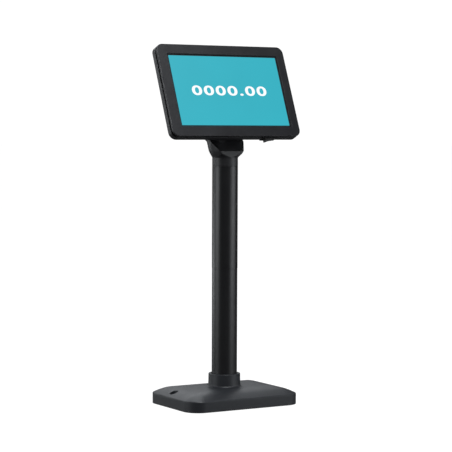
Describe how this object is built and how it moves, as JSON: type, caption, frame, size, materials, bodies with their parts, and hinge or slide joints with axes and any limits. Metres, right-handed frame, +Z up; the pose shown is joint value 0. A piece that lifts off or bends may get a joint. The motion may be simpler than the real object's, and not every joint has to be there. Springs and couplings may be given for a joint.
{
  "type": "customer pole display",
  "caption": "Countertop customer display: a flat screen that tilts on a forked swivel neck, held up by a round tube pole on a weighted rectangular base.",
  "frame": {"origin": "on the pole's axis, on the surface that the rubber feet stand on, below the middle of the object's bounding box", "axes": "+Z is up along the pole, -Y is the side that the screen faces, +X is to the right of someone looking at the screen"},
  "size_m": [0.181, 0.113, 0.443],
  "materials": {
    "bezel_plastic": "fine-textured black ABS, very slightly lighter than the rear cover",
    "case_plastic": "fine-textured black ABS",
    "screen_film": "matt polarising film over a lit teal picture",
    "screen_glass": "glossy black border of the display glass",
    "gasket_foam": "soft black foam",
    "backlight_white": "white diffuser stack",
    "tray_steel": "thin bright sheet steel",
    "flex_amber": "amber polyimide",
    "zinc_sheet": "zinc-plated sheet",
    "standoff_brass": "turned brass",
    "zinc_screw": "zinc-plated steel",
    "black_screw": "black oxide steel",
    "board_green": "green solder mask",
    "chip_black": "moulded epoxy",
    "connector_ivory": "ivory nylon",
    "bracket_steel": "black powder coat on steel",
    "switch_plastic": "black nylon",
    "rocker_plastic": "satin black nylon",
    "neck_plastic": "fine-textured black ABS",
    "neck_cover_plastic": "smooth black ABS",
    "acetal_white": "self-lubricating acetal",
    "spigot_alloy": "turned aluminium",
    "spring_steel": "bright spring steel",
    "pole_paint": "satin black paint on steel tube",
    "coupler_alloy": "turned aluminium",
    "base_plastic": "satin black ABS with a fine grain",
    "flange_zinc": "die-cast zinc alloy",
    "ballast_iron": "painted steel weight",
    "bottom_sheet": "black painted steel sheet",
    "foot_rubber": "black rubber"
  },
  "bodies": {
    "stand": {"swivel_washer": "gasket_foam", "swivel_bush": "acetal_white", "upper_tube": "pole_paint", "tube_coupler": "coupler_alloy", "coupler_screws": "black_screw", "lower_tube": "pole_paint", "pole_seal": "foot_rubber", "pole_flange": "flange_zinc", "flange_screws": "zinc_screw", "base_cover": "base_plastic", "pole_collar": "base_plastic", "ballast_plate": "ballast_iron", "ballast_screws": "zinc_screw", "bottom_plate": "bottom_sheet", "base_screws": "zinc_screw", "rubber_feet": "foot_rubber", "cable_grommet": "foot_rubber"},
    "neck": {"neck_shell": "neck_plastic", "neck_front_cover": "neck_cover_plastic", "hinge_bolt": "zinc_screw", "hinge_washers": "acetal_white", "hinge_nut": "zinc_screw", "hinge_caps": "neck_plastic", "swivel_spigot": "spigot_alloy", "spigot_screws": "zinc_screw", "swivel_stop_ring": "zinc_screw", "swivel_spring": "spring_steel", "swivel_nut": "zinc_screw"},
    "head": {"front_bezel": "bezel_plastic", "lcd_gasket": "gasket_foam", "lcd_polarizer": "screen_film", "lcd_glass": "screen_glass", "lcd_backlight": "backlight_white", "lcd_tray": "tray_steel", "lcd_ribbon": "flex_amber", "chassis_plate": "zinc_sheet", "chassis_screws": "zinc_screw", "case_standoffs": "standoff_brass", "board_standoffs": "standoff_brass", "controller_board": "board_green", "board_chips": "chip_black", "board_connectors": "connector_ivory", "board_screws": "zinc_screw", "rear_cover": "case_plastic", "case_screws": "black_screw", "hinge_bracket": "bracket_steel", "bracket_screws": "black_screw", "switch_housing": "switch_plastic"},
    "rocker": {"power_rocker": "rocker_plastic"}
  },
  "joints": [
    {"name": "neck_swivel", "type": "hinge", "parent": "stand", "child": "neck", "pos_m": [0, 0, 0.295], "axis": [0, 0, 1], "range_deg": [-165, 165]},
    {"name": "head_tilt", "type": "hinge", "parent": "neck", "child": "head", "pos_m": [0, 0.0101, 0.3413], "axis": [-1, 0, 0], "range_deg": [-22, 37.4]},
    {"name": "rocker_switch", "type": "hinge", "parent": "head", "child": "rocker", "pos_m": [0.047, -0.02373, 0.33068], "axis": [0, 0.9232, -0.3843], "range_deg": [0, 23]}
  ]
}
